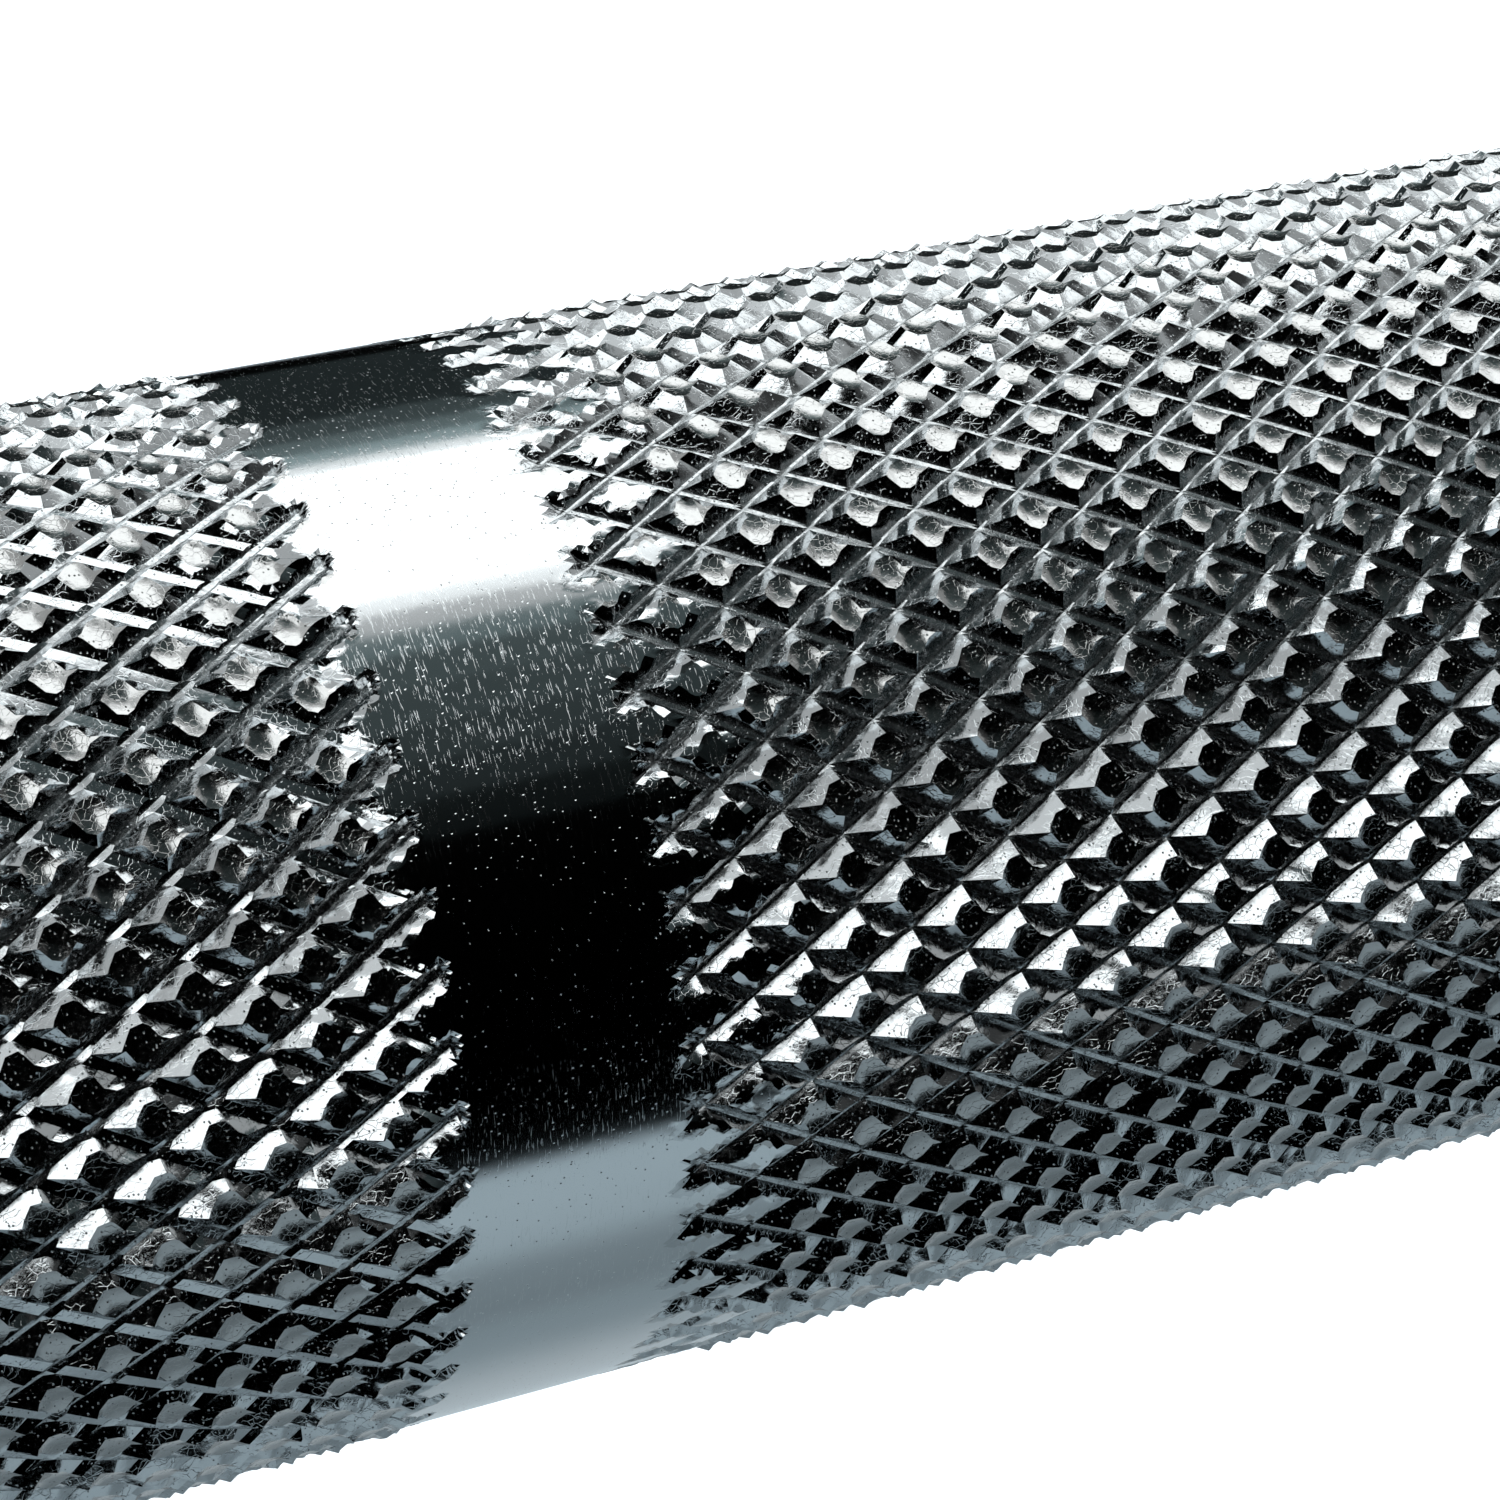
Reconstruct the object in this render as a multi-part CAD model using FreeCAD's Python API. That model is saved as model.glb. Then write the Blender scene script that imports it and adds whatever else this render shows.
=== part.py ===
import FreeCAD, Part
import math
import os

# Olympic barbell, millimetres. The bar lies along X with the middle of its grip at the origin.
# Left is -X and right is +X. Places inside a sleeve are depths from the shoulder collar's grip-side face.

# Driving dimensions of the whole bar
bar_length = 2200.0
grip_span = 1310.0
shaft_diameter = 28.0
sleeve_diameter = 50.0
collar_diameter = 79.0
collar_width = 30.0

# Grip: knurled bands stand proud of the smooth shaft, with a smooth ring mark in each side band
knurl_height = 0.2
knurl_run_in = 0.3
collar_to_knurl = 6.0
collar_to_ring = 195.0
ring_width = 5.4
inner_knurl_length = 245.0
centre_knurl_length = 120.0

# Shaft ends: the journal inside each sleeve and its groove for the snap ring
shoulder_height = 1.5
shoulder_chamfer = 0.6
journal_end_chamfer = 1.5
shaft_end_gap = 4.0
groove_land = 4.5
groove_depth = 0.55
groove_width_play = 0.1
centre_drill_diameter = 5.0
centre_drill_angle = 60.0

# Running fits
running_clearance = 0.05
rolling_clearance = 0.02
thrust_gap = 0.15

# Sleeve tube, with the seat and lip that hold the shoulder collar
collar_seat_step = 0.5
lip_height = 3.5
lip_width = 5.0
lip_chamfer = 0.6
mouth_chamfer = 1.0
tip_chamfer_share = 0.5
tip_bore_chamfer_share = 0.2

# Shoulder collar
collar_hub_share = 0.6
collar_cone_width = 6.0
collar_rim_radius = 2.5
collar_face_chamfer = 1.5
collar_groove_width = 2.5
collar_groove_depth = 0.8
collar_groove_spacing = 7.0

# Dust seal at the mouth of the sleeve
seal_inset = 2.0
seal_width = 4.0
seal_clearance = 0.1
seal_lip_width = 1.4
seal_web = 1.6
seal_to_shoulder = 2.0

# Flanged bronze bushes, one at each end of the sleeve's bore
bush_flange_height = 2.5
bush_flange_width = 3.5
bush_length = 44.0
bush_chamfer = 0.8
bush_grease_groove_width = 3.0
bush_grease_groove_depth = 0.6

# Drawn-cup needle bearings between the bushes
bearing_count = 4
bearing_width = 16.0
cup_wall = 0.96
cup_lip_thickness = 1.0
cup_lip_clearance = 0.4
cup_corner_radius = 0.9
roller_diameter = 2.5
roller_count = 20
roller_end_clearance = 0.15
roller_end_chamfer = 0.25
cage_side_clearance = 0.25
cage_end_ring = 1.0
cage_thickness = 1.5
pocket_clearance = 0.06

# Thrust washer and the snap ring that holds the sleeve on
washer_rim_clearance = 1.0
washer_thickness = 2.0
washer_chamfer = 0.3
snap_ring_thickness = 1.2
snap_ring_heel = 3.6
snap_ring_tip = 2.4
snap_ring_gap_angle = 34.0
snap_ring_lug_radius = 2.4
snap_ring_hole_diameter = 2.0

# End cap and the snap ring that keeps it in
cap_ledge = 1.5
cap_thickness = 10.0
cap_clearance = 0.05
cap_rim_width = 4.5
cap_dish_depth = 1.6
cap_dish_chamfer = 1.2
cap_boss_diameter = 12.0
cap_boss_drop = 0.6
cap_edge_chamfer = 0.5
end_recess = 4.0
end_ring_play = 0.05
end_ring_thickness = 1.75
end_ring_groove_share = 0.25
end_ring_heel = 4.0
end_ring_tip = 2.7
end_ring_gap_angle = 40.0
end_ring_lug_radius = 2.8
end_ring_hole_diameter = 2.5

# One overrun serves every cut that has to pass right through, and one tolerance finds round edges
cut_overrun = 1.0
edge_match = 0.01

# Radii that follow from the sizes above, from the shaft outwards
half_grip = grip_span / 2
sleeve_length = (bar_length - grip_span) / 2
shaft_radius = shaft_diameter / 2
journal_radius = shaft_radius - shoulder_height
bush_bore_radius = journal_radius + running_clearance
roller_pitch_radius = journal_radius + rolling_clearance + roller_diameter / 2
cup_race_radius = roller_pitch_radius + roller_diameter / 2 + rolling_clearance
bore_radius = cup_race_radius + cup_wall
flange_radius = bore_radius + bush_flange_height
cap_bore_radius = flange_radius + cap_ledge
sleeve_radius = sleeve_diameter / 2
tip_wall = sleeve_radius - cap_bore_radius
end_groove_radius = cap_bore_radius + end_ring_groove_share * tip_wall
collar_seat_radius = sleeve_radius + collar_seat_step
lip_radius = collar_seat_radius + lip_height

# Depths in the sleeve, first from its mouth and then from its tip
shoulder_depth = seal_inset + seal_width + seal_to_shoulder
inner_flange_depth = shoulder_depth + thrust_gap
inner_step_depth = inner_flange_depth + bush_flange_width
inner_bush_end = inner_step_depth + bush_length
end_ring_depth = sleeve_length - end_recess - end_ring_thickness
cap_seat_depth = end_ring_depth - end_ring_play - cap_thickness
shaft_end_depth = cap_seat_depth - shaft_end_gap
snap_ring_depth = shaft_end_depth - groove_land - snap_ring_thickness
washer_depth = snap_ring_depth - washer_thickness
outer_flange_end = washer_depth - thrust_gap
outer_step_depth = outer_flange_end - bush_flange_width
outer_bush_start = outer_step_depth - bush_length
bearing_run = outer_bush_start - inner_bush_end
bearing_spacing = (bearing_run - bearing_count * bearing_width) / (bearing_count + 1)

AXIS = FreeCAD.Vector(1, 0, 0)
CENTRE = FreeCAD.Vector(0, 0, 0)
SIDES = {"left": -1, "right": 1}


def station(side, depth):
    return side * (half_grip + depth)


def turned_profile(points):
    # A closed outline of (x, radius) points, spun about the bar's axis.
    corners = [FreeCAD.Vector(x, radius, 0) for x, radius in points]
    face = Part.Face(Part.makePolygon(corners + corners[:1]))
    return face.revolve(CENTRE, AXIS, 360)


def turned(side, outline):
    # The same for a piece in one sleeve, whose outline is (depth, radius) points.
    return turned_profile([(station(side, depth), radius) for depth, radius in outline])


def disc(side, depth, length, radius, offset=0):
    # A round plug along the bar's axis, set off downwards by offset.
    base = FreeCAD.Vector(station(side, depth), 0, -offset)
    return Part.makeCylinder(radius, length, base, AXIS * side)


def spun_copies(shape, count):
    # Evenly spaced copies round the bar's axis.
    copies = []
    for index in range(count):
        copy = shape.copy()
        copy.rotate(CENTRE, AXIS, index * 360 / count)
        copies.append(copy)
    return copies


def knurl_bands():
    # Start and end of each knurled band, from left to right.
    band_end = half_grip - collar_to_ring - ring_width - inner_knurl_length
    right_bands = [
        (band_end, half_grip - collar_to_ring - ring_width),
        (half_grip - collar_to_ring, half_grip - collar_to_knurl),
    ]
    left_bands = [(-end, -start) for start, end in reversed(right_bands)]
    return left_bands + [(-centre_knurl_length / 2, centre_knurl_length / 2)] + right_bands


def band_outline(start, end):
    # The raised step of one knurled band, with its run-in at both ends.
    crest = shaft_radius + knurl_height
    return [
        (start, shaft_radius),
        (start + knurl_run_in, crest),
        (end - knurl_run_in, crest),
        (end, shaft_radius),
    ]


def journal_outline():
    # The right-hand end of the shaft, from the shoulder out to the tip, as (x, radius).
    tip = station(1, shaft_end_depth)
    groove_end = station(1, snap_ring_depth + snap_ring_thickness)
    groove_start = groove_end - snap_ring_thickness - groove_width_play
    groove_radius = journal_radius - groove_depth
    shoulder = station(1, shoulder_depth)
    drill_radius = centre_drill_diameter / 2
    drill_cone = drill_radius / math.tan(math.radians(centre_drill_angle / 2))
    return [
        (shoulder - shoulder_chamfer, shaft_radius),
        (shoulder, shaft_radius - shoulder_chamfer),
        (shoulder, journal_radius),
        (groove_start, journal_radius),
        (groove_start, groove_radius),
        (groove_end, groove_radius),
        (groove_end, journal_radius),
        (tip - journal_end_chamfer, journal_radius),
        (tip, journal_radius - journal_end_chamfer),
        (tip, drill_radius),
        (tip - drill_cone, 0),
    ]


def make_shaft():
    right_end = journal_outline()
    left_end = [(-x, radius) for x, radius in reversed(right_end)]
    outline = list(left_end)
    for start, end in knurl_bands():
        outline += band_outline(start, end)
    return turned_profile(outline + right_end)


def make_sleeve_tube(side):
    groove_end = end_ring_depth + end_ring_thickness + end_ring_play
    tip_chamfer = tip_chamfer_share * tip_wall
    tip_bore_chamfer = tip_bore_chamfer_share * tip_wall
    return turned(side, [
        (0, flange_radius + mouth_chamfer),
        (0, lip_radius - lip_chamfer),
        (lip_chamfer, lip_radius),
        (lip_width, lip_radius),
        (lip_width, collar_seat_radius),
        (collar_width, collar_seat_radius),
        (collar_width, sleeve_radius),
        (sleeve_length - tip_chamfer, sleeve_radius),
        (sleeve_length, sleeve_radius - tip_chamfer),
        (sleeve_length, cap_bore_radius + tip_bore_chamfer),
        (sleeve_length - tip_bore_chamfer, cap_bore_radius),
        (groove_end, cap_bore_radius),
        (groove_end, end_groove_radius),
        (end_ring_depth - end_ring_play, end_groove_radius),
        (end_ring_depth - end_ring_play, cap_bore_radius),
        (cap_seat_depth, cap_bore_radius),
        (cap_seat_depth, flange_radius),
        (outer_step_depth, flange_radius),
        (outer_step_depth, bore_radius),
        (inner_step_depth, bore_radius),
        (inner_step_depth, flange_radius),
        (mouth_chamfer, flange_radius),
    ])


def collar_grooves():
    # Depths of the decorative grooves turned in the collar's rim.
    middle = (collar_cone_width + collar_width) / 2
    return [middle - collar_groove_spacing / 2, middle + collar_groove_spacing / 2]


def make_shoulder_collar(side):
    # A turned ring, coned towards the grip, that is pressed on its seat against the sleeve's lip.
    rim_radius = collar_diameter / 2
    hub_radius = lip_radius + collar_hub_share * (rim_radius - lip_radius)
    outline = [
        (lip_width, lip_radius),
        (0, lip_radius),
        (0, hub_radius),
        (collar_cone_width, rim_radius),
    ]
    for middle in collar_grooves():
        start = middle - collar_groove_width / 2
        end = middle + collar_groove_width / 2
        outline += [
            (start, rim_radius),
            (start + collar_groove_depth, rim_radius - collar_groove_depth),
            (end - collar_groove_depth, rim_radius - collar_groove_depth),
            (end, rim_radius),
        ]
    outline += [
        (collar_width - collar_face_chamfer, rim_radius),
        (collar_width, rim_radius - collar_face_chamfer),
        (collar_width, collar_seat_radius),
        (lip_width, collar_seat_radius),
    ]
    collar = turned(side, outline)
    cone_end = station(side, collar_cone_width)
    cone_edge = [edge for edge in collar.Edges if is_circle_at(edge, cone_end, rim_radius)]
    return collar.makeFillet(collar_rim_radius, cone_edge)


def is_circle_at(edge, x, radius):
    # True for a round edge of that radius in the plane at x.
    if not isinstance(edge.Curve, Part.Circle):
        return False
    return abs(edge.Curve.Center.x - x) < edge_match and abs(edge.Curve.Radius - radius) < edge_match


def make_dust_seal(side):
    # A rubber ring with a thin lip that wipes the shaft, pressed into the sleeve's mouth.
    lip_bore = shaft_radius + seal_clearance
    web_radius = flange_radius - seal_web
    return turned(side, [
        (seal_inset, flange_radius),
        (seal_inset, lip_bore),
        (seal_inset + seal_lip_width, lip_bore),
        (seal_inset + seal_lip_width, web_radius),
        (seal_inset + seal_width, web_radius),
        (seal_inset + seal_width, flange_radius),
    ])


def make_bush(side, flange_face, body_end):
    # A flanged bush with a grease groove round the middle of its bore. The flange's outer face is
    # at flange_face and its body ends at body_end, on either side of it.
    way = 1 if body_end > flange_face else -1
    step = flange_face + way * bush_flange_width
    middle = (flange_face + body_end) / 2
    half_groove = way * bush_grease_groove_width / 2
    return turned(side, [
        (flange_face, bush_bore_radius),
        (flange_face, flange_radius),
        (step, flange_radius),
        (step, bore_radius),
        (body_end - way * bush_chamfer, bore_radius),
        (body_end, bore_radius - bush_chamfer),
        (body_end, bush_bore_radius),
        (middle + half_groove, bush_bore_radius),
        (middle + half_groove, bush_bore_radius + bush_grease_groove_depth),
        (middle - half_groove, bush_bore_radius + bush_grease_groove_depth),
        (middle - half_groove, bush_bore_radius),
    ])


def make_inner_bush(side):
    return make_bush(side, inner_flange_depth, inner_bush_end)


def make_outer_bush(side):
    return make_bush(side, outer_flange_end, outer_bush_start)


def bearing_start(index):
    return inner_bush_end + bearing_spacing + index * (bearing_spacing + bearing_width)


def make_needle_cup(side, index):
    # A drawn steel cup with both ends turned in over the rollers, rounded at its outer corners.
    start = bearing_start(index)
    end = start + bearing_width
    lip_bore = journal_radius + cup_lip_clearance
    cup = turned(side, [
        (start, lip_bore),
        (start, bore_radius),
        (end, bore_radius),
        (end, lip_bore),
        (end - cup_lip_thickness, lip_bore),
        (end - cup_lip_thickness, cup_race_radius),
        (start + cup_lip_thickness, cup_race_radius),
        (start + cup_lip_thickness, lip_bore),
    ])
    ends = [station(side, start), station(side, end)]
    corners = [edge for edge in cup.Edges if any(is_circle_at(edge, x, bore_radius) for x in ends)]
    return cup.makeFillet(cup_corner_radius, corners)


def cage_span(index):
    inset = cup_lip_thickness + cage_side_clearance
    return bearing_start(index) + inset, bearing_start(index) + bearing_width - inset


def make_needle_cage(side, index):
    # A ring with one pocket for each roller.
    start, end = cage_span(index)
    inner_radius = roller_pitch_radius - cage_thickness / 2
    outer_radius = roller_pitch_radius + cage_thickness / 2
    ring = turned(side, [
        (start, inner_radius),
        (start, outer_radius),
        (end, outer_radius),
        (end, inner_radius),
    ])
    pocket_length = end - start - 2 * cage_end_ring
    pocket_width = roller_diameter + 2 * pocket_clearance
    pocket_height = cage_thickness + 2 * cut_overrun
    middle = station(side, (start + end) / 2)
    pocket = Part.makeBox(pocket_length, pocket_width, pocket_height)
    pocket.translate(FreeCAD.Vector(middle - pocket_length / 2, -pocket_width / 2, 0))
    pocket.translate(FreeCAD.Vector(0, 0, roller_pitch_radius - pocket_height / 2))
    return ring.cut(Part.makeCompound(spun_copies(pocket, roller_count)))


def make_needle_rollers(side, index):
    start, end = cage_span(index)
    inset = cage_end_ring + roller_end_clearance
    radius = roller_diameter / 2
    first = start + inset
    last = end - inset
    outline = [
        (first, 0),
        (first, radius - roller_end_chamfer),
        (first + roller_end_chamfer, radius),
        (last - roller_end_chamfer, radius),
        (last, radius - roller_end_chamfer),
        (last, 0),
    ]
    roller = turned(side, outline)
    roller.translate(FreeCAD.Vector(0, 0, roller_pitch_radius))
    return Part.makeCompound(spun_copies(roller, roller_count))


def make_thrust_washer(side):
    bore = bush_bore_radius
    rim = flange_radius - washer_rim_clearance
    end = washer_depth + washer_thickness
    return turned(side, [
        (washer_depth, bore),
        (washer_depth, rim - washer_chamfer),
        (washer_depth + washer_chamfer, rim),
        (end - washer_chamfer, rim),
        (end, rim - washer_chamfer),
        (end, bore),
    ])


def ring_gap(side, depth, thickness, reach, gap_angle):
    # A wedge that opens the ring at the top, centred on +Z.
    half_width = reach * math.tan(math.radians(gap_angle / 2))
    x = station(side, depth) - side * cut_overrun
    corners = [
        FreeCAD.Vector(x, 0, 0),
        FreeCAD.Vector(x, half_width, reach),
        FreeCAD.Vector(x, -half_width, reach),
    ]
    face = Part.Face(Part.makePolygon(corners + corners[:1]))
    return face.extrude(AXIS * side * (thickness + 2 * cut_overrun))


def lug_places(distance, gap_angle, lug_radius):
    # Centres of the two lugs, just clear of the gap on each side.
    lean = math.radians(gap_angle / 2) + math.asin(lug_radius / distance)
    return [FreeCAD.Vector(0, way * distance * math.sin(lean), distance * math.cos(lean)) for way in (-1, 1)]


def with_lugs(ring, side, depth, thickness, places, lug_radius, hole_diameter):
    # Adds the plier lugs, each with its hole.
    hole_radius = hole_diameter / 2
    for place in places:
        base = place + FreeCAD.Vector(station(side, depth), 0, 0)
        ring = ring.fuse(Part.makeCylinder(lug_radius, thickness, base, AXIS * side))
    for place in places:
        base = place + FreeCAD.Vector(station(side, depth) - side * cut_overrun, 0, 0)
        ring = ring.cut(Part.makeCylinder(hole_radius, thickness + 2 * cut_overrun, base, AXIS * side))
    return ring.removeSplitter()


def make_shaft_snap_ring(side):
    # An open ring in the journal's groove, widest opposite its gap.
    seat = journal_radius - groove_depth
    offset = (snap_ring_heel - snap_ring_tip) / 2
    outer = seat + (snap_ring_heel + snap_ring_tip) / 2
    ring = disc(side, snap_ring_depth, snap_ring_thickness, outer, offset)
    bore = disc(side, snap_ring_depth - cut_overrun, snap_ring_thickness + 2 * cut_overrun, seat)
    gap = ring_gap(side, snap_ring_depth, snap_ring_thickness, 2 * outer, snap_ring_gap_angle)
    places = lug_places(seat + snap_ring_lug_radius, snap_ring_gap_angle, snap_ring_lug_radius)
    return with_lugs(
        ring.cut(bore).cut(gap), side, snap_ring_depth, snap_ring_thickness,
        places, snap_ring_lug_radius, snap_ring_hole_diameter)


def make_end_cap(side):
    # A turned plug with a shallow dish and a low boss in its outer face.
    rim = cap_bore_radius - cap_clearance
    end = cap_seat_depth + cap_thickness
    floor = end - cap_dish_depth
    dish_radius = rim - cap_rim_width
    boss_radius = cap_boss_diameter / 2
    return turned(side, [
        (cap_seat_depth, 0),
        (cap_seat_depth, rim - cap_edge_chamfer),
        (cap_seat_depth + cap_edge_chamfer, rim),
        (end - cap_edge_chamfer, rim),
        (end, rim - cap_edge_chamfer),
        (end, dish_radius),
        (floor, dish_radius - cap_dish_chamfer),
        (floor, boss_radius + cap_boss_drop),
        (end - cap_boss_drop, boss_radius),
        (end - cap_boss_drop, 0),
    ])


def make_end_snap_ring(side):
    # An open ring in the sleeve's groove, widest opposite its gap, with its lugs turned inwards.
    offset = (end_ring_heel - end_ring_tip) / 2
    inner = end_groove_radius - (end_ring_heel + end_ring_tip) / 2
    ring = disc(side, end_ring_depth, end_ring_thickness, end_groove_radius)
    bore = disc(side, end_ring_depth - cut_overrun, end_ring_thickness + 2 * cut_overrun, inner, -offset)
    gap = ring_gap(side, end_ring_depth, end_ring_thickness, 2 * end_groove_radius, end_ring_gap_angle)
    places = lug_places(cap_bore_radius - end_ring_lug_radius, end_ring_gap_angle, end_ring_lug_radius)
    return with_lugs(
        ring.cut(bore).cut(gap), side, end_ring_depth, end_ring_thickness,
        places, end_ring_lug_radius, end_ring_hole_diameter)


def sleeve_pieces(side):
    # Every piece on one end of the bar, by its plain name.
    pieces = {
        "sleeve_tube": make_sleeve_tube(side),
        "shoulder_collar": make_shoulder_collar(side),
        "dust_seal": make_dust_seal(side),
        "inner_bush": make_inner_bush(side),
        "outer_bush": make_outer_bush(side),
        "thrust_washer": make_thrust_washer(side),
        "shaft_snap_ring": make_shaft_snap_ring(side),
        "end_cap": make_end_cap(side),
        "end_snap_ring": make_end_snap_ring(side),
    }
    for index in range(bearing_count):
        number = index + 1
        pieces[f"needle_cup_{number}"] = make_needle_cup(side, index)
        pieces[f"needle_cage_{number}"] = make_needle_cage(side, index)
        pieces[f"needle_rollers_{number}"] = make_needle_rollers(side, index)
    return pieces


def main():
    os.makedirs("parts", exist_ok=True)
    nodes = {"shaft": make_shaft()}
    for word, side in SIDES.items():
        for name, shape in sleeve_pieces(side).items():
            nodes[f"{word}_{name}"] = shape
    for name, shape in nodes.items():
        shape.exportStep(f"parts/{name}.step")


main()
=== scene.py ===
from math import atan2, cos, floor, hypot, pi, radians, sin, tan
from random import Random

import bmesh
import bpy
from mathutils import Matrix, Vector


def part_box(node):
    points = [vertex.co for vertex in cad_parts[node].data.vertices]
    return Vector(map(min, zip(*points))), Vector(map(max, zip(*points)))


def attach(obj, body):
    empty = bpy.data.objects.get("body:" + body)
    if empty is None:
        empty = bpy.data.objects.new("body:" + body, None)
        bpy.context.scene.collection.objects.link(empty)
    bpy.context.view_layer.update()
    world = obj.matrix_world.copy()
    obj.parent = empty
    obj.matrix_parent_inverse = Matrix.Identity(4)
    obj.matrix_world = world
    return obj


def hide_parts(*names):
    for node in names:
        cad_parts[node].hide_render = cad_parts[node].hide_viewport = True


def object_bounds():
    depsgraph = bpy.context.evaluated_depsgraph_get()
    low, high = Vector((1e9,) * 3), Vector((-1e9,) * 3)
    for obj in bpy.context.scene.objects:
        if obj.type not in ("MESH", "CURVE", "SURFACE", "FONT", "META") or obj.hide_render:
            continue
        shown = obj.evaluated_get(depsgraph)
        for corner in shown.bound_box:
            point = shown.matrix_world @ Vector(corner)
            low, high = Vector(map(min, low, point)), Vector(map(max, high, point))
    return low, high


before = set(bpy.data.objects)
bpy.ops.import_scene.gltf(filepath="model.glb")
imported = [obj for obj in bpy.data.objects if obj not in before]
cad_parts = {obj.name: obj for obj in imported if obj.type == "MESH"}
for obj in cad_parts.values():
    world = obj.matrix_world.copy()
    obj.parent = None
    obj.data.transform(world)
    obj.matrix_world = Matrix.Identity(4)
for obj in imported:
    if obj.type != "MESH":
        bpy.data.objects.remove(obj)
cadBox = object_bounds()
mm = 0.001
print("frame loaded with", len(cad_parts), "nodes")


# Finishes

class Wire:
    def __init__(self, tree, socket=None):
        self.tree = tree
        self.socket = socket

    def node(self, kind, settings, sockets, output=0):
        made = self.tree.nodes.new(kind)
        for key, value in settings.items():
            setattr(made, key, value)
        for key, value in sockets.items():
            if isinstance(value, Wire):
                self.tree.links.new(value.socket, made.inputs[key])
            else:
                made.inputs[key].default_value = value
        return Wire(self.tree, made.outputs[output] if made.outputs else None)

    def other(self, output):  # another output of the same node
        return Wire(self.tree, self.socket.node.outputs[output])

    def maths(self, operation, *values):
        return self.node("ShaderNodeMath", {"operation": operation}, dict(enumerate(values)))

    def __add__(self, other):
        return self.maths("ADD", self, other)

    def __radd__(self, other):
        return self.maths("ADD", other, self)

    def __sub__(self, other):
        return self.maths("SUBTRACT", self, other)

    def __rsub__(self, other):
        return self.maths("SUBTRACT", other, self)

    def __mul__(self, other):
        return self.maths("MULTIPLY", self, other)

    def __rmul__(self, other):
        return self.maths("MULTIPLY", other, self)

    def band(self, low, high):  # 0 below low, 1 above high, smooth between
        return self.node("ShaderNodeMapRange", {"interpolation_type": "SMOOTHSTEP"},
                         {"Value": self, "From Min": low, "From Max": high})


def startMaterial(name):
    material = bpy.data.materials.new(name)
    material.use_nodes = True
    material.node_tree.nodes.clear()
    wire = Wire(material.node_tree)
    return material, wire, wire.node("ShaderNodeTexCoord", {}, {}, "Object")


def closeMaterial(material, wire, shader):
    wire.node("ShaderNodeOutputMaterial", {}, {"Surface": shader})
    return material


def principled(wire, colour, roughness, normal, metallic=1.0):
    return wire.node("ShaderNodeBsdfPrincipled", {}, {
        "Base Color": colour, "Metallic": metallic, "Roughness": roughness, "Normal": normal})


def noise(wire, place, scale, detail=2.0, roughness=0.5):
    return wire.node("ShaderNodeTexNoise", {}, {"Vector": place, "Scale": scale, "Detail": detail,
                                               "Roughness": roughness}, "Fac")


def mixColour(wire, factor, first, second):
    return wire.node("ShaderNodeMix", {"data_type": "RGBA"}, {"Factor": factor, 6: first, 7: second}, 2)


# Each layer is a height and its depth, and bends the normal that the one before it left
def bumps(wire, *layers):
    before = {}
    for height, depth in layers:
        normal = wire.node("ShaderNodeBump", {}, {"Distance": depth, "Height": height, **before}, "Normal")
        before = {"Normal": normal}
    return normal


def splitPlace(wire, place):
    x = wire.node("ShaderNodeSeparateXYZ", {}, {"Vector": place}, "X")
    return x, x.other("Y"), x.other("Z")


# Stretches a pattern round the bar: x has a scale of its own, and the rest is the direction from the axis
def roundTheBar(wire, place, alongScale, roundScale):
    x, y, z = splitPlace(wire, place)
    across = wire.node("ShaderNodeVectorMath", {"operation": "NORMALIZE"},
                       {0: wire.node("ShaderNodeCombineXYZ", {}, {"Y": y, "Z": z})}, "Vector")
    turned = wire.node("ShaderNodeVectorMath", {"operation": "SCALE"},
                       {0: across, "Scale": roundScale}, "Vector")
    along = wire.node("ShaderNodeCombineXYZ", {}, {"X": x * alongScale})
    return wire.node("ShaderNodeVectorMath", {"operation": "ADD"}, {0: turned, 1: along}, "Vector")


# Small round pits in a share of the cells, as heights from -1 to 0
def pits(wire, place, settings):
    cell = wire.node("ShaderNodeTexVoronoi", {"feature": "F1"},
                     {"Vector": place, "Scale": settings["pitScale"]}, "Distance")
    chance = wire.node("ShaderNodeSeparateColor", {}, {"Color": cell.other("Color")}, "Red")
    chosen = wire.maths("LESS_THAN", chance, settings["pitShare"])
    return (cell.band(0.0, settings["pitSize"]) - 1.0) * chosen


chrome = {
    "colour": (0.66, 0.68, 0.69, 1),
    "roughness": 0.10, "streakRoughness": 0.15,
    "streakAlong": 27000, "streakRound": 34.0, "streakDetail": 3.0,
    "streakBand": (0.59, 0.72), "streakDepth": 0.0022 * mm,
    "pitScale": 5200, "pitSize": 0.17, "pitShare": 0.7, "pitDepth": 0.013 * mm,
    "waveScale": 900, "waveDepth": 0.0006 * mm,
}


def chromeMaterial(name, settings):
    material, wire, place = startMaterial(name)
    stretched = roundTheBar(wire, place, settings["streakAlong"], settings["streakRound"])
    streaks = noise(wire, stretched, 1.0, settings["streakDetail"]).band(*settings["streakBand"])
    roughness = settings["roughness"] + streaks * (settings["streakRoughness"] - settings["roughness"])
    normal = bumps(wire, (pits(wire, place, settings), settings["pitDepth"]),
                   (noise(wire, place, settings["waveScale"]), settings["waveDepth"]),
                   (streaks, settings["streakDepth"]))
    return closeMaterial(material, wire, principled(wire, settings["colour"], roughness, normal))


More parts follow.
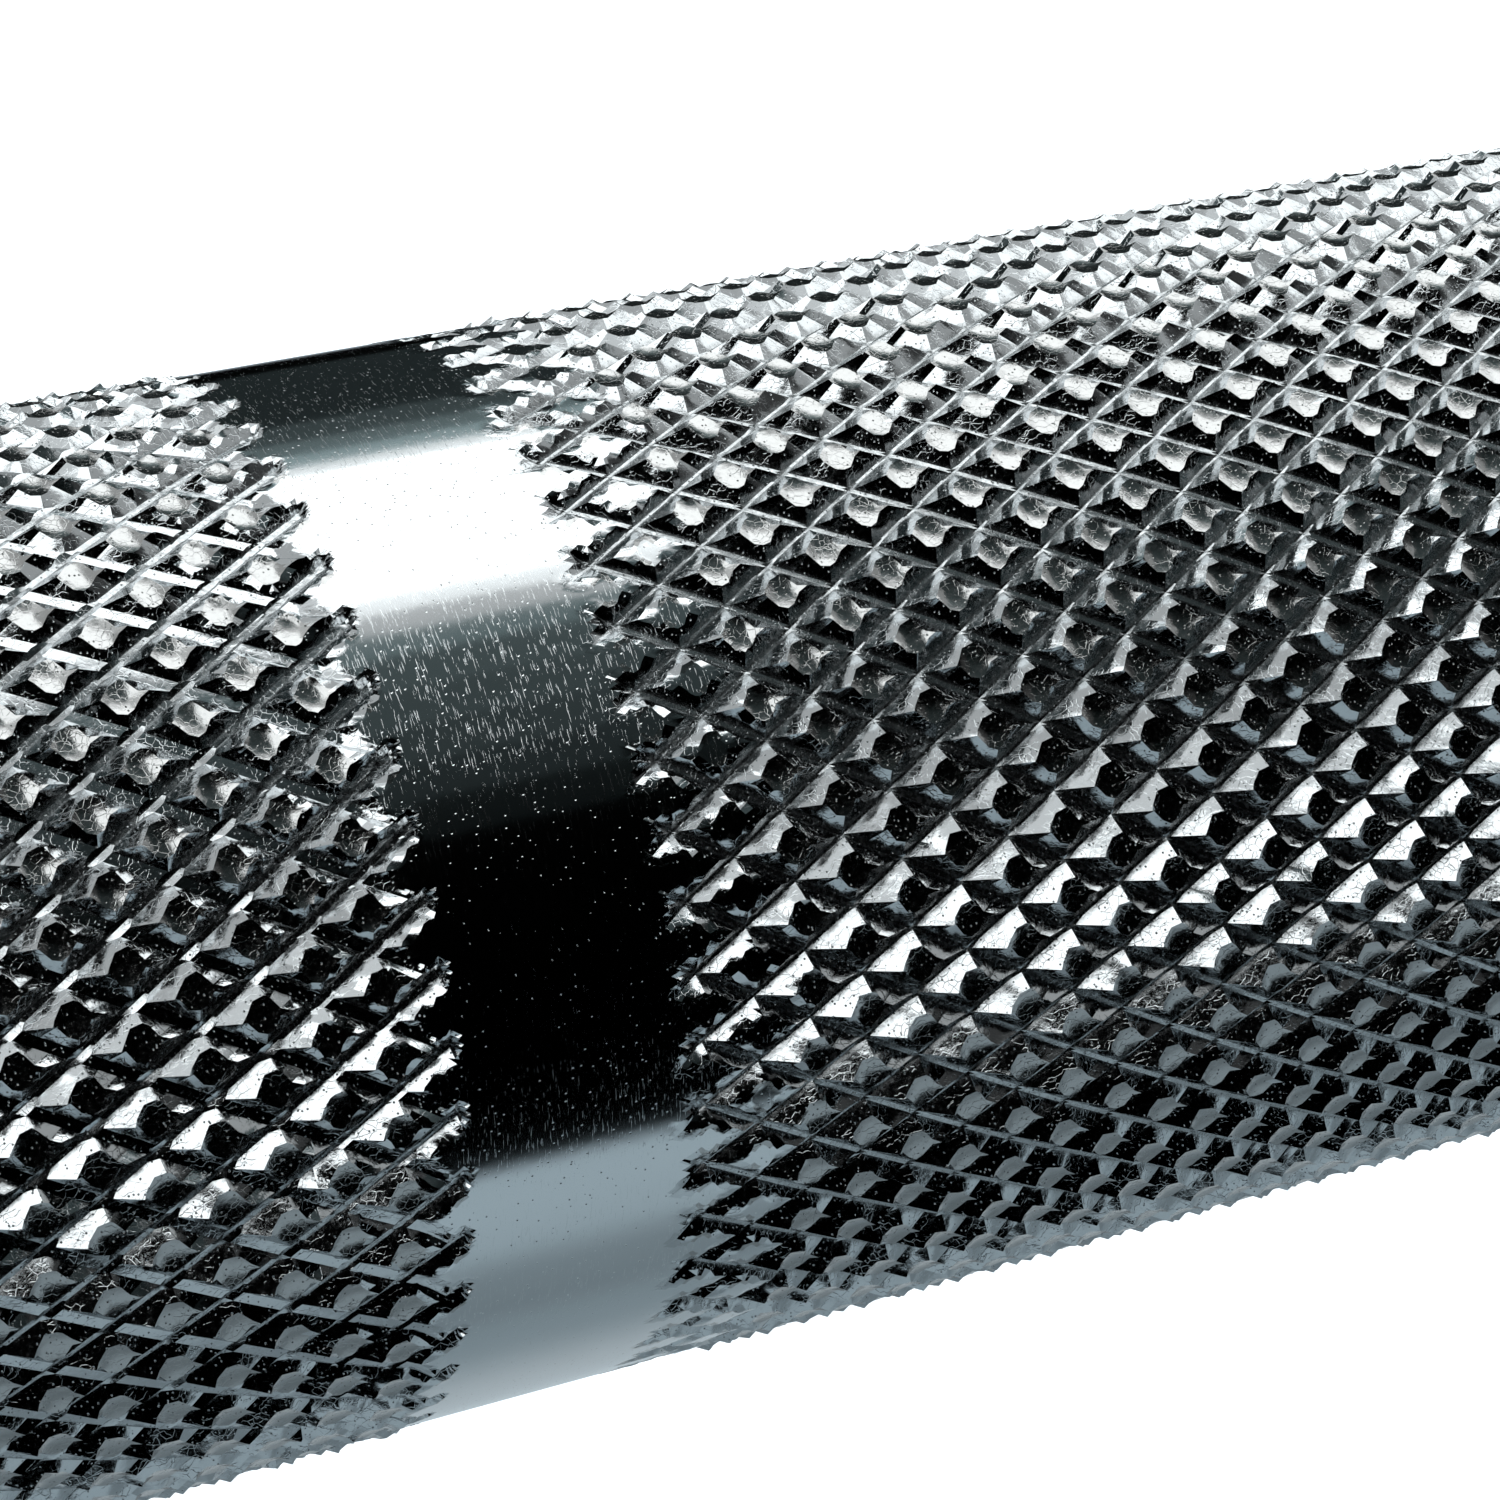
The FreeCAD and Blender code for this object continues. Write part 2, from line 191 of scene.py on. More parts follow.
knurlChrome = {
    # the groove colour is painted shade: groove floors darker than the knurl
    "colour": (0.55, 0.57, 0.58, 1), "paintedGrooveShadeColour": (0.40, 0.415, 0.42, 1),
    "roughness": 0.09, "roughest": 0.22, "inGroove": 0.14,
    "grooveRadius": (13.74 * mm, 13.86 * mm),
    "grainScale": 9500, "grainDetail": 3.0, "grainRoughness": 0.6, "grainDepth": 0.0026 * mm,
    "roughBand": (0.4, 0.8), "paintedGrooveShadeBand": (0.25, 0.6),
    "pitScale": 8600, "pitSize": 0.27, "pitShare": 0.40, "pitDepth": 0.026 * mm,
    "crackScale": 5200, "crackBend": 0.1 * mm, "crackWidth": 0.06, "crackDepth": 0.0026 * mm,
    "patchScale": 5200 / 3, "patchBand": (0.4, 0.6),  # where the cracks lie
}
# Painted shade: the crater insides take a darker colour than the knurl, and are also rougher
craterChromePaintedShade = {**knurlChrome, "colour": (0.42, 0.42, 0.415, 1), "roughness": 0.13, "roughest": 0.30}


def knurlMaterial(name, settings):
    material, wire, place = startMaterial(name)
    grain = noise(wire, place, settings["grainScale"], settings["grainDetail"], settings["grainRoughness"])
    x, y, z = splitPlace(wire, place)
    inGroove = 1 - wire.maths("SQRT", y * y + z * z).band(*settings["grooveRadius"])
    roughness = settings["roughness"] + (
        grain.band(*settings["roughBand"]) * (settings["roughest"] - settings["roughness"]))
    roughness = roughness + inGroove * settings["inGroove"]
    bending = wire.node("ShaderNodeTexNoise", {}, {"Vector": place, "Scale": settings["crackScale"]}, "Color")
    bent = wire.node("ShaderNodeVectorMath", {"operation": "MULTIPLY_ADD"},
                     {0: bending, 1: (settings["crackBend"],) * 3, 2: place}, "Vector")
    cracks = wire.node("ShaderNodeTexVoronoi", {"feature": "DISTANCE_TO_EDGE"},
                       {"Vector": bent, "Scale": settings["crackScale"]}, "Distance")
    cracks = cracks.band(0.0, settings["crackWidth"])
    cracks = cracks * noise(wire, place, settings["patchScale"]).band(*settings["patchBand"])
    normal = bumps(wire, (grain, settings["grainDepth"]),
                   (pits(wire, place, settings), settings["pitDepth"]),
                   (cracks, settings["crackDepth"]))
    # Painted shade: the groove floors take the darker colour, in patches that follow the grain
    colour = mixColour(wire, inGroove * grain.band(*settings["paintedGrooveShadeBand"]),
                       settings["colour"], settings["paintedGrooveShadeColour"])
    return closeMaterial(material, wire, principled(wire, colour, roughness, normal))


metals = {
    "bronze": {"colour": (0.60, 0.36, 0.15, 1), "dark": (0.36, 0.19, 0.07, 1), "roughness": (0.24, 0.48)},
    "bearing_steel": {"colour": (0.60, 0.61, 0.62, 1), "dark": (0.42, 0.43, 0.44, 1),
                      "roughness": (0.16, 0.34)},
    "spring_steel": {"colour": (0.12, 0.12, 0.13, 1), "dark": (0.05, 0.05, 0.055, 1),
                     "roughness": (0.28, 0.5)},
    "cap_steel": {"colour": (0.60, 0.62, 0.63, 1), "dark": (0.44, 0.46, 0.47, 1),
                  "roughness": (0.18, 0.34)},
}
turningMarks = {
    "scale": 2600, "depth": 0.003 * mm, "cloudScale": 160, "cloudDetail": 3.0,
    "markShare": 0.6, "cloudShare": 0.4, "dullBand": (0.3, 0.7), "darkBand": (0.35, 0.75),
}


# Turned metal: fine rings left by the tool, with clouds of duller colour
def turnedMetal(name, settings):
    material, wire, place = startMaterial(name)
    x, y, z = splitPlace(wire, place)
    fromAxis = wire.maths("SQRT", y * y + z * z)
    turned = wire.node("ShaderNodeCombineXYZ", {}, {"X": x, "Y": fromAxis})
    marks = noise(wire, turned, turningMarks["scale"])
    clouds = noise(wire, place, turningMarks["cloudScale"], turningMarks["cloudDetail"])
    low, high = settings["roughness"]
    dull = marks * turningMarks["markShare"] + clouds * turningMarks["cloudShare"]
    roughness = low + dull.band(*turningMarks["dullBand"]) * (high - low)
    colour = mixColour(wire, clouds.band(*turningMarks["darkBand"]), settings["colour"], settings["dark"])
    normal = bumps(wire, (marks, turningMarks["depth"]))
    return closeMaterial(material, wire, principled(wire, colour, roughness, normal))


rubber = {
    "colour": (0.018, 0.018, 0.019, 1), "worn": (0.05, 0.05, 0.05, 1), "wornBand": (0.5, 0.8),
    "scale": 1400, "detail": 4.0, "grainRoughness": 0.6, "depth": 0.02 * mm,
    "roughness": 0.5, "roughnessGain": 0.25,
}


def rubberMaterial(settings):
    material, wire, place = startMaterial("sealRubber")
    grain = noise(wire, place, settings["scale"], settings["detail"], settings["grainRoughness"])
    colour = mixColour(wire, grain.band(*settings["wornBand"]), settings["colour"], settings["worn"])
    roughness = settings["roughness"] + grain * settings["roughnessGain"]
    normal = bumps(wire, (grain, settings["depth"]))
    return closeMaterial(material, wire, principled(wire, colour, roughness, normal, metallic=0.0))


finishes = {
    "shaft_chrome": chromeMaterial("shaftChrome", chrome),
    "sleeve_chrome": chromeMaterial("sleeveChrome", {**chrome, "pitShare": 0.15, "streakRoughness": 0.22}),
    "knurl": knurlMaterial("knurlChrome", knurlChrome),
    "crater": knurlMaterial("craterChromePaintedShade", craterChromePaintedShade),
    "seal_rubber": rubberMaterial(rubber),
}
for name, settings in metals.items():
    finishes[name] = turnedMetal(name, settings)
print("finishes ready")


# Pieces

turning = {
    "mergeGap": 0.0001 * mm, "sameGap": 0.001 * mm,
    "cornerAngle": 12,  # in degrees: a turned corner past it can be rounded
    "sharpAngle": 32,  # in degrees: an edge past it looks sharp
}


def setPiece(name, bm, materials, body, node, sharpAngle=turning["sharpAngle"]):
    mesh = bpy.data.meshes.new(name)
    bm.to_mesh(mesh)
    bm.free()
    for material in materials:
        mesh.materials.append(material)
    if sharpAngle:
        mesh.set_sharp_from_angle(angle=radians(sharpAngle))
    piece = bpy.data.objects.new(name, mesh)
    bpy.context.scene.collection.objects.link(piece)
    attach(piece, body)
    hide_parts(node)
    return piece


def smoothAll(bm):
    bmesh.ops.recalc_face_normals(bm, faces=bm.faces[:])
    for face in bm.faces:
        face.smooth = True


# Turns an outline of (x, radius) corners round the bar; an open outline starts and ends on the axis
def turn(outline, segments, isOpen=False):
    bm = bmesh.new()
    corners = [bm.verts.new((x, 0, radius)) for x, radius in outline]
    nextCorners = corners[1:] if isOpen else corners[1:] + corners[:1]
    edges = [bm.edges.new(pair) for pair in zip(corners, nextCorners)]
    bmesh.ops.spin(bm, geom=corners + edges, cent=(0, 0, 0), axis=(1, 0, 0), angle=2 * pi,
                   steps=segments, use_merge=True)
    bmesh.ops.remove_doubles(bm, verts=bm.verts[:], dist=turning["mergeGap"])
    smoothAll(bm)
    return bm


# Rounds the turned corners that the test picks, by their x and radius
def roundCorners(bm, width, segments, test):
    edges = []
    for edge in bm.edges:
        a, b = edge.verts
        if abs(a.co.x - b.co.x) < turning["sameGap"] and len(edge.link_faces) == 2:
            radius = hypot(a.co.y, a.co.z)
            isRound = abs(radius - hypot(b.co.y, b.co.z)) < turning["sameGap"]
            isCorner = edge.calc_face_angle(0) > radians(turning["cornerAngle"])
            if isRound and isCorner and test(a.co.x, radius):
                edges.append(edge)
    bmesh.ops.bevel(bm, geom=edges, offset=width, offset_type="OFFSET", segments=segments, profile=0.5,
                    affect="EDGES", material=-1, clamp_overlap=True)
    smoothAll(bm)


# Knurl: a lattice of diamonds wrapped on the shaft. A cell runs along "/" with u and along "\" with v.
lattice = {
    "cellsRound": 50,
    "halfPitch": 1.4325 * mm,  # along the bar, from one corner of a diamond to its middle
    "radius": 14.0 * mm,
    "plainBreaks": (0, 0.26, 0.74, 1),
    "crateredBreaks": (0, 0.11, 0.22, 0.36, 0.64, 0.78, 0.89, 1),
    "craterRim": (0.40 * mm, 0.43 * mm, 0.50 * mm, 0.60 * mm),  # on the flanks, ridges across, left, right
    "rimReach": (0.98, 1.02),  # shares of the nearest and farthest rim between which a point is on it
    "ridgeSearch": (0.45, 30),  # the farthest share of a side, and how often it is halved
    "craterInside": 0.43 * mm, "craterInner": 0.20 * mm,
    "craterFloor": -0.02 * mm, "craterCurve": 0.27 / mm,
    "craterWall": (0.40 * mm, 1.6, 0.2),  # where it starts, and its slope above and below the middle
    "depth": 0.28 * mm, "grooveFloor": 0.03 * mm,  # half the floor's width, at full depth
    "slopes": {"A": 44, "B": 49, "C": 50, "D": 50},  # A up left, B down left, C down right, D up right
    "footShare": 0.15,  # how far a flank's foot lies from the groove's middle to the rim
    "grooveWander": 0.005 * mm, "wanderBelow": 0.4,  # a share of the depth
    "plainTop": 0.12 * mm, "ringLip": (0.03 * mm, 0.35),
    "ridgeAngle": 18, "craterAngle": 60, "craterReach": 1.1,  # in degrees: an edge past its angle is crisp
    "flatGap": 0.001,  # in cells, where the flat diamonds are joined
    "wrapGap": 0.004 * mm, "cutGap": 0.0005 * mm,
}
halfStep = pi / lattice["cellsRound"]
acrossHalf = lattice["radius"] * halfStep
grooveSpacing = 2 * lattice["halfPitch"] * acrossHalf / hypot(lattice["halfPitch"], acrossHalf)


# One diamond as a flat grid from 0 to 1, with the corner squares split along the ridges
def gridCell(breaks, ridgeRings):
    bm = bmesh.new()
    steps = len(breaks) - 1
    bmesh.ops.create_grid(bm, x_segments=steps, y_segments=steps, size=0.5)
    places = {}
    for vert in bm.verts:
        key = (round((vert.co.x + 0.5) * steps), round((vert.co.y + 0.5) * steps))
        places[key] = vert
        vert.co = (breaks[key[0]], breaks[key[1]], 0)
    for ring in range(ridgeRings):
        near, far = ring, steps - ring
        for a, b in (((near, near), (near + 1, near + 1)), ((far, far), (far - 1, far - 1)),
                     ((near, far), (near + 1, far - 1)), ((far, near), (far - 1, near + 1))):
            bmesh.ops.connect_vert_pair(bm, verts=[places[a], places[b]])
    return bm, places, steps


def plainCell(knurl):
    return gridCell(lattice["plainBreaks"], 1)[0]


def steepness(side):
    return tan(radians(lattice["slopes"][side]))


# In shares of a diamond's side: how far a ridge is from the "/" groove, by its distance from the "\" groove
def ridgeFromSlash(fromBackslash, nearLeft, isLit):
    foot = lattice["grooveFloor"] / grooveSpacing
    ratio = steepness("B" if nearLeft else "D") / steepness("A" if isLit else "C")
    return foot + ratio * (fromBackslash - foot)


# How far a place in a cell, from 0 to 1 each way, is from the diamond's middle
def fromMiddle(p, q):
    return hypot(lattice["halfPitch"] * (p + q - 1), acrossHalf * (p - q))


def craterDistance(u, v):
    return fromMiddle(u - floor(u), v - floor(v))


# The place on a ridge that is a distance from the diamond's middle
def onRidge(nearLeft, isLit, radius):
    low = 0.0
    high, halvings = lattice["ridgeSearch"]
    for halving in range(halvings):
        p = (low + high) / 2
        q = ridgeFromSlash(p, nearLeft, isLit)
        place = Vector((p if nearLeft else 1 - p, q if isLit else 1 - q, 0))
        if fromMiddle(place.x, place.y) > radius:
            low = p
        else:
            high = p
    return place


# The finer diamond has a round crater: its third ring of points lies on the rim
def crateredCell(knurl):
    bm, places, steps = gridCell(lattice["crateredBreaks"], 2)
    outer = {key: vert.co.copy() for key, vert in places.items()}
    rings = {key: min(key[0], key[1], steps - key[0], steps - key[1]) for key in places}

    def onCircle(key, radius):
        p, q = outer[key].x, outer[key].y
        share = radius / fromMiddle(p, q)
        return Vector((0.5 + (p - 0.5) * share, 0.5 + (q - 0.5) * share, 0))

    onFlank, acrossBar, atLeft, atRight = lattice["craterRim"]
    for key, vert in places.items():
        if rings[key] == 2:
            isRidge = key[0] in (2, steps - 2) and key[1] in (2, steps - 2)
            if isRidge:
                alongBar = atLeft if key[0] == 2 else atRight
                vert.co = onRidge(key[0] == 2, key[1] == 2, alongBar if key[0] == key[1] else acrossBar)
            else:
                vert.co = onCircle(key, onFlank)
        elif rings[key] == 3:
            vert.co = onCircle(key, lattice["craterInner"])
    slashFloor = knurl["slashFloor"] / grooveSpacing
    backslashFloor = knurl["backslashFloor"] / grooveSpacing
    for key, vert in places.items():
        if rings[key] == 1:
            inner = tuple(min(max(k, 2), steps - 2) for k in key)
            edge = tuple(0 if k == 1 else steps if k == steps - 1 else k for k in key)
            bySlash, byBackslash = key[1] in (1, steps - 1), key[0] in (1, steps - 1)
            vert.co = outer[edge].lerp(places[inner].co, lattice["footShare"])
            if byBackslash:
                vert.co.x = backslashFloor if key[0] == 1 else 1 - backslashFloor
            if bySlash:
                width = slashFloor
                if byBackslash:
                    width = ridgeFromSlash(backslashFloor, key[0] == 1, key[1] == 1)
                vert.co.y = width if key[1] == 1 else 1 - width
    return bm


def borderCell(knurl):
    bm = crateredCell(knurl)
    bmesh.ops.subdivide_edges(bm, edges=bm.edges[:], cuts=1, use_grid_fill=True)
    return bm


ringMark = {"centre": -457.3 * mm, "plainWithin": 0.004 * mm}
# Each end has the distance from the ring mark's middle where a groove's floor starts to rise, and its slope
leftKnurl = {
    "x": ringMark["centre"] - 4.25 * mm, "angle": radians(90.25), "twist": 0.0,
    "slashFloor": 0.075 * mm, "backslashFloor": 0.14 * mm,
    "slashEnd": (-2.75 * mm, 2.2), "backslashEnd": (-3.75 * mm, 0.5),
    "craterEnd": -3.4 * mm, "towardsRing": 1,
}
rightKnurl = {
    "x": ringMark["centre"] + 9.2203 * mm, "angle": radians(22.54), "twist": radians(-0.0796) / mm,
    "slashFloor": 0.035 * mm, "backslashFloor": 0.065 * mm,
    "slashEnd": (3.4 * mm, 0.42), "backslashEnd": (3.3 * mm, 0.8),
    "craterEnd": 5.6 * mm, "towardsRing": -1,
}


# How far a flank has risen from the bottom of its groove, at a distance from the groove's middle
def flankRise(share, floorWidth, side):
    return (max(floorWidth, share * grooveSpacing) - lattice["grooveFloor"]) * steepness(side)


def onShaft(knurl, u, v, height=0):
    x = knurl["x"] + lattice["halfPitch"] * (u + v)
    angle = knurl["angle"] + halfStep * (u - v) + knurl["twist"] * (x - knurl["x"])
    radius = lattice["radius"] + height
    return Vector((x, -radius * cos(angle), radius * sin(angle)))


def latticePlace(knurl, co):
    x = (co.x - knurl["x"]) / lattice["halfPitch"]
    angle = atan2(co.z, -co.y) - knurl["angle"] - knurl["twist"] * (co.x - knurl["x"])
    turned = angle / halfStep
    return (x + turned) / 2, (x - turned) / 2


# Height of the knurl above the smooth shaft, at lattice place u, v and at a distance from the ring's centre
def knurlHeight(knurl, u, v, fromRing, hasRing):
    p, q = u - floor(u), v - floor(v)
    slash = backslash = -lattice["depth"]
    isFull = True
    if hasRing:
        towardsRing = knurl["towardsRing"]
        slashStart, slashSlope = knurl["slashEnd"]
        backslashStart, backslashSlope = knurl["backslashEnd"]
        slash += slashSlope * max(0, (fromRing - slashStart) * towardsRing)
        backslash += backslashSlope * max(0, (fromRing - backslashStart) * towardsRing)
        middle = fromRing + lattice["halfPitch"] * (1 - p - q)
        isFull = (middle - knurl["craterEnd"]) * towardsRing < 0
    flank = min(slash + flankRise(q, knurl["slashFloor"], "A"),
                slash + flankRise(1 - q, knurl["slashFloor"], "C"),
                backslash + flankRise(p, knurl["backslashFloor"], "B"),
                backslash + flankRise(1 - p, knurl["backslashFloor"], "D"))
    if not isFull:
        lip, fall = lattice["ringLip"]
        return min(flank, max(0, lip - fall * flank))
    radius = craterDistance(u, v)
    wallStart, above, below = lattice["craterWall"]
    wallSlope = above if q < 0.5 else below
    wall = wallSlope * max(0, radius - wallStart)
    return min(flank, lattice["craterFloor"] + lattice["craterCurve"] * radius ** 2 + wall)


# A closed slug of shaft between two planes, knurled all round; a rim that wanders makes it a finer one
def knurlSlug(cell, knurl, start, end, hasRing, seed, rimWander):
    reach = lattice["halfPitch"]
    first = floor((start - knurl["x"]) / reach) - 1
    count = floor((end - start) / reach) + 4
    bm = cell(knurl)
    bmesh.ops.translate(bm, vec=(first, 0, 0), verts=bm.verts[:])
    bmesh.ops.spin(bm, geom=bm.verts[:] + bm.edges[:] + bm.faces[:], cent=(0, 0, 0), axis=(0, 0, 1),
                   dvec=(1, 0, 0), angle=0, steps=count - 1, use_duplicate=True)
    bmesh.ops.remove_doubles(bm, verts=bm.verts[:], dist=lattice["flatGap"])
    for vert in bm.verts:
        u, v = vert.co.x, vert.co.y
        height = 0 if rimWander else min(knurlHeight(knurl, u, v, 0, False), lattice["plainTop"])
        vert.co = onShaft(knurl, u, v, height)
    others = lattice["cellsRound"] - 1
    bmesh.ops.spin(bm, geom=bm.verts[:] + bm.edges[:] + bm.faces[:], cent=(0, 0, 0), axis=(1, 0, 0),
                   angle=2 * others * halfStep, steps=others, use_duplicate=True)
    bmesh.ops.remove_doubles(bm, verts=bm.verts[:], dist=lattice["wrapGap"])
    if rimWander:
        raiseKnurl(bm, knurl, hasRing, seed, rimWander)
    for x, side in ((start, -1), (end, 1)):
        bmesh.ops.bisect_plane(bm, geom=bm.verts[:] + bm.edges[:] + bm.faces[:], dist=lattice["cutGap"],
                               plane_co=(x, 0, 0), plane_no=(side, 0, 0), clear_outer=True)
    bmesh.ops.holes_fill(bm, edges=[edge for edge in bm.edges if edge.is_boundary], sides=0)
    smoothAll(bm)
    if rimWander:
        sharpenRidges(bm, knurl)
    return bm


# Lifts each point of a finer slug to its height, with worn rims and uneven groove floors
def raiseKnurl(bm, knurl, hasRing, seed, rimWander):
    chance = Random(seed)
    nearest = lattice["craterRim"][0] * lattice["rimReach"][0]
    farthest = lattice["craterRim"][3] * lattice["rimReach"][1]
    for vert in bm.verts:
        u, v = latticePlace(knurl, vert.co)
        if nearest < craterDistance(u, v) < farthest:  # the rim wanders outwards, down its flanks
            spread = 1 + rimWander * chance.random()
            u = floor(u) + 0.5 + (u - floor(u) - 0.5) * spread
            v = floor(v) + 0.5 + (v - floor(v) - 0.5) * spread
            vert.co = onShaft(knurl, u, v)
        height = knurlHeight(knurl, u, v, vert.co.x - ringMark["centre"], hasRing)
        if height < -lattice["wanderBelow"] * lattice["depth"]:
            height += lattice["grooveWander"] * chance.uniform(-1, 1)
        scale = 1 + height / lattice["radius"]
        vert.co.y *= scale
        vert.co.z *= scale


# Ridges and groove edges are crisp, and the craters stay smooth inside
def sharpenRidges(bm, knurl):
    reach = lattice["craterInner"] * lattice["craterReach"]
    for edge in bm.edges:
        inCrater = any(craterDistance(*latticePlace(knurl, vert.co)) < reach for vert in edge.verts)
        crispFrom = lattice["craterAngle"] if inCrater else lattice["ridgeAngle"]
        edge.smooth = edge.calc_face_angle(0) < radians(crispFrom)


def mirrored(bm):
    copy = bm.copy()
    bmesh.ops.scale(copy, vec=(-1, 1, 1), verts=copy.verts[:])
    bmesh.ops.recalc_face_normals(copy, faces=copy.faces[:])
    return copy


def setBothSides(name, bm, materials, sharpAngle=turning["sharpAngle"]):
    other = mirrored(bm)
    setPiece("left" + name, bm, materials, "shaft", "shaft", sharpAngle)
    setPiece("right" + name, other, materials, "shaft", "shaft", sharpAngle)


shaft = {
    "grip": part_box("left_shoulder_collar")[1].x,
    "tip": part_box("shaft")[0].x,
    "outerKnurlStart": -649 * mm,
    "innerKnurlEnd": -209.6 * mm,
    "centreKnurl": 60 * mm,
    "centreSeed": 9,
    "closeUp": (-18 * mm, -6.4 * mm, 0, 6.6 * mm, 38 * mm),  # planes round the ring between the finer slugs
    "rimWander": 0.12,  # how far a crater's rim wanders, as a share of its radius
    "segments": 256,
}
journal = {
    "radius": 12.5 * mm, "endChamfer": 1.5 * mm,
    "shoulderDepth": 8 * mm,  # past the collar's grip-side face
    "shoulderChamfer": 0.6 * mm,
    "land": 4.5 * mm, "grooveRadius": 11.95 * mm, "grooveWidth": 1.3 * mm,
    "drillRadius": 2.5 * mm, "drillAngle": 60,
}


# A finer slug's faces are knurl, plain ring or the inside of a crater
def chooseFinish(bm, knurl, hasRing):
    onKnurl, onRing, inCrater = range(3)
    for face in bm.faces:
        away = max(abs(hypot(vert.co.y, vert.co.z) - lattice["radius"]) for vert in face.verts)
        distance = craterDistance(*latticePlace(knurl, face.calc_center_median()))
        face.material_index = inCrater if distance < lattice["craterInside"] else onKnurl
        if hasRing and away < ringMark["plainWithin"]:
            face.material_index = onRing


def makeKnurl():
    knurled = [finishes["knurl"], finishes["shaft_chrome"], finishes["crater"]]
    cuts = [ringMark["centre"] + place for place in shaft["closeUp"]]
    wander = shaft["rimWander"]
    slugs = [
        ("OuterKnurl", plainCell, leftKnurl, shaft["outerKnurlStart"], cuts[0], False, 0),
        ("OuterKnurlByRing", crateredCell, leftKnurl, cuts[0], cuts[1], False, wander),
        ("RingOuterHalf", borderCell, leftKnurl, cuts[1], cuts[2], True, wander),
        ("RingInnerHalf", borderCell, rightKnurl, cuts[2], cuts[3], True, wander),
        ("InnerKnurlByRing", crateredCell, rightKnurl, cuts[3], cuts[4], False, wander),
        ("InnerKnurl", plainCell, rightKnurl, cuts[4], shaft["innerKnurlEnd"], False, 0),
    ]
    for seed, (name, cell, knurl, start, end, hasRing, rimWander) in enumerate(slugs):
        bm = knurlSlug(cell, knurl, start, end, hasRing, seed, rimWander)
        if rimWander:
            chooseFinish(bm, knurl, hasRing)
        print(name, len(bm.faces), "faces")
        setBothSides(name, bm, knurled, None if rimWander else turning["sharpAngle"])
    centre = shaft["centreKnurl"]
    middleKnurl = {**rightKnurl, "x": 0, "twist": 0}
    bm = knurlSlug(plainCell, middleKnurl, -centre, centre, False, shaft["centreSeed"], 0)
    setPiece("centreKnurl", bm, knurled, "shaft", "shaft")


def makeSmoothShaft():
    radius, inner, centre = lattice["radius"], shaft["innerKnurlEnd"], shaft["centreKnurl"]
    outline = [(inner, 0), (inner, radius), (-centre, radius), (-centre, 0)]
    setBothSides("SmoothGrip", turn(outline, shaft["segments"], True), [finishes["shaft_chrome"]])
    start, tip = shaft["outerKnurlStart"], shaft["tip"]
    shoulder, shoulderChamfer = shaft["grip"] - journal["shoulderDepth"], journal["shoulderChamfer"]
    landEnd = tip + journal["land"]
    grooveEnd = landEnd + journal["grooveWidth"]
    drillDepth = journal["drillRadius"] / tan(radians(journal["drillAngle"] / 2))
    outline = [(start, 0), (start, radius), (shoulder + shoulderChamfer, radius),
               (shoulder, radius - shoulderChamfer), (shoulder, journal["radius"]),
               (grooveEnd, journal["radius"]), (grooveEnd, journal["grooveRadius"]),
               (landEnd, journal["grooveRadius"]), (landEnd, journal["radius"]),
               (tip + journal["endChamfer"], journal["radius"]),
               (tip, journal["radius"] - journal["endChamfer"]), (tip, journal["drillRadius"]),
               (tip + drillDepth, 0)]
    setBothSides("Journal", turn(outline, shaft["segments"], True), [finishes["shaft_chrome"]])


makeKnurl()
makeSmoothShaft()
print("shaft done")


# Sleeves: in mm, with places as depths from the collar's grip-side face, outwards along the bar
collarFace = shaft["grip"]


def alongSleeve(side, outline):
    start = abs(collarFace)
    return [(side * (start + depth * mm), radius * mm) for depth, radius in outline]


bushFlange = 3.5  # its width
innerStep = (abs(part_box("left_inner_bush")[1].x) - abs(collarFace)) / mm + bushFlange
outerStep = (abs(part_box("left_outer_bush")[0].x) - abs(collarFace)) / mm - bushFlange
print("sleeve steps", round(innerStep, 3), round(outerStep, 3))
sleeveTube = {
    "length": 445, "radius": 25, "tipChamfer": 2.5,
    "lipRadius": 29, "lipWidth": 5, "lipChamfer": 0.6, "collarSeat": 25.5, "collarEnd": 30,
    "bore": 16, "flangeSeat": 18.5, "mouthChamfer": 1,
    "capSeat": 20, "capStart": 429.2, "ringStart": 439.2, "ringEnd": 441.05, "ringSeat": 21.25,
    "tipBoreChamfer": 1,
    "edge": 0.2, "roundedFrom": 18, "edgeSegments": 2, "segments": 192,
}
shoulderCollar = {
    "radius": 39.49, "faceRadius": 35.3, "coneWidth": 6, "endChamfer": 1.5, "endRadius": 38,
    "grooves": (14.5, 21.5), "grooveHalf": 1.25, "grooveFloorHalf": 0.45, "grooveRadius": 38.7,
    "rimRound": 0.79, "rimSegments": 6, "rimNear": 0.1, "clearOfRim": 1.2,
    "edge": 0.2, "roundedFrom": 30, "edgeSegments": 2, "segments": 192,
}
endCap = {
    "radius": 19.95, "chamfer": 0.5, "rimRadius": 15.45,
    "dishRadius": 14.25, "dishDepth": 1.6, "bossFoot": 6.6, "bossRadius": 6, "bossDrop": 0.6,
    "edge": 0.15, "roundedFrom": 5, "edgeSegments": 2, "segments": 160,
}


